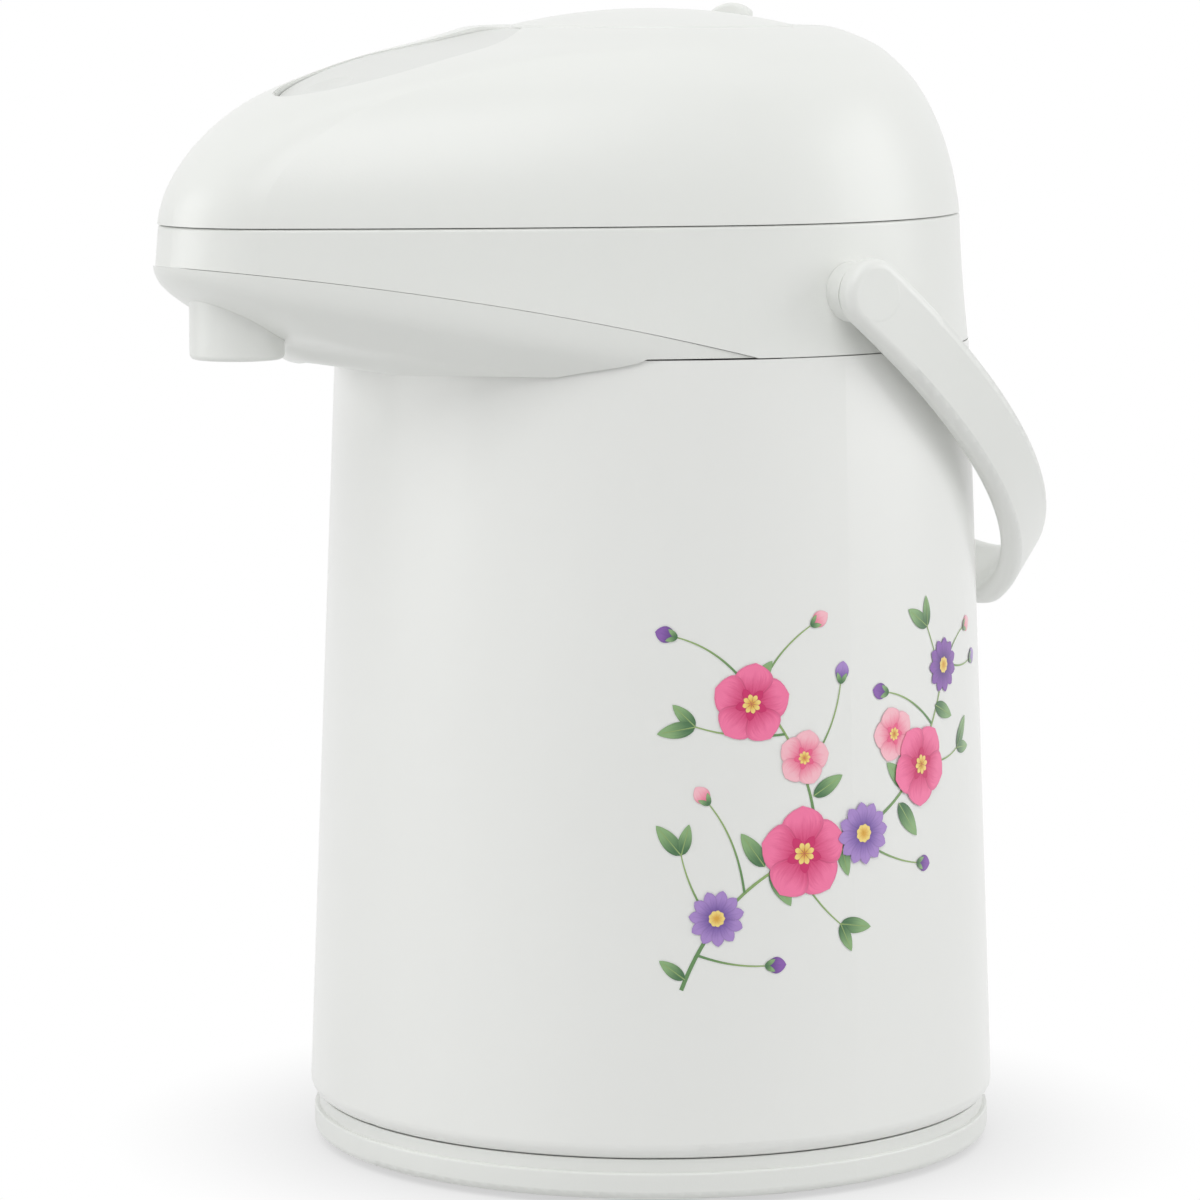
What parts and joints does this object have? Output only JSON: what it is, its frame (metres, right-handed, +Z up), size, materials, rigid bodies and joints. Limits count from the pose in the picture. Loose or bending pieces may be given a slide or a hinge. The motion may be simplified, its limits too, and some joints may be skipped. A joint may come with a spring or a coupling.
{
  "type": "pump pot",
  "caption": "White air pump pot: tapered round body, beaked collar with pouring nozzle, hinged lid with push plate and release panel, swinging carry handle, turning foot.",
  "frame": {"origin": "centre of the round foot on the table", "axes": "+Z up along the pot's axis; the spout points to -Y and the lid's hinge lies on the +Y side; +X is the pot's left as seen from the front"},
  "size_m": [0.1912, 0.2751, 0.3082],
  "materials": {
    "white_shell": "smooth moulded white with a soft gloss",
    "body_coat": "white lacquer over thin sheet, with a printed band of flowers",
    "inner_moulding": "plain white moulding",
    "clear_glass": "clear blown glass",
    "silvered_glass": "blown glass, silvered inside",
    "soft_seal": "pale silicone",
    "bellows_rubber": "pale moulded rubber",
    "water_pipe": "drawn stainless tube",
    "plain_steel": "plain steel wire and fasteners",
    "felt": "pressed felt pads"
  },
  "bodies": {
    "foot": {"turntable_foot": "inner_moulding", "foot_grip_ring": "soft_seal", "swivel_clip": "plain_steel", "swivel_screw": "plain_steel"},
    "pot": {"base_ring": "white_shell", "bottom_cap": "inner_moulding", "liner_cushion": "soft_seal", "outer_body": "body_coat", "glass_liner_outer": "silvered_glass", "glass_liner_inner": "clear_glass", "liner_spacers": "felt", "liner_mouth_gasket": "soft_seal", "shoulder_collar": "white_shell", "mouth_well": "inner_moulding", "well_screws": "plain_steel", "beak_underside": "white_shell", "spout_nozzle": "white_shell", "nozzle_seal": "soft_seal", "delivery_pipe": "water_pipe", "pipe_coupler": "inner_moulding", "pipe_grommet": "soft_seal", "riser_tube": "water_pipe", "riser_foot": "inner_moulding", "handle_bosses": "white_shell", "handle_pivot_pins": "plain_steel", "hinge_pin": "plain_steel", "catch_bar": "inner_moulding"},
    "handle": {"carry_handle": "white_shell"},
    "lid": {"lid_shell": "white_shell", "lid_base": "inner_moulding", "lid_screws": "plain_steel", "lid_gasket": "soft_seal", "outlet_valve": "soft_seal", "pump_bellows": "bellows_rubber", "bellows_clamp": "inner_moulding", "return_spring": "plain_steel", "release_pin": "plain_steel"},
    "push": {"push_plate": "white_shell", "plunger": "inner_moulding", "intake_valve": "soft_seal"},
    "lock": {"lock_ring": "white_shell"},
    "release": {"release_panel": "white_shell"}
  },
  "joints": [
    {"name": "pot_swivel", "type": "hinge", "parent": "foot", "child": "pot", "pos_m": [0, 0, 0.006], "axis": [0, 0, 1], "continuous": true},
    {"name": "lid_open", "type": "hinge", "parent": "pot", "child": "lid", "pos_m": [0, 0.085, 0.254], "axis": [-1, 0, 0], "range_deg": [0, 80]},
    {"name": "push_press", "type": "slide", "parent": "lid", "child": "push", "axis": [0, 0, -1], "range_m": [0, 0.022], "stiffness_N_per_m": 400, "springref_m": -0.01, "deforming": ["pump_bellows", "return_spring"]},
    {"name": "lock_turn", "type": "hinge", "parent": "lid", "child": "lock", "pos_m": [0, 0, 0.295], "axis": [0, 0, 1], "range_deg": [0, 46]},
    {"name": "release_press", "type": "hinge", "parent": "lid", "child": "release", "pos_m": [0, -0.059, 0.294], "axis": [1, 0, 0], "range_deg": [0, 3.5], "stiffness_Nm_per_rad": 1.5, "springref_deg": -5.73},
    {"name": "handle_swing", "type": "hinge", "parent": "pot", "child": "handle", "pos_m": [0, 0.003, 0.235], "axis": [1, 0, 0], "range_deg": [0, 140]}
  ]
}
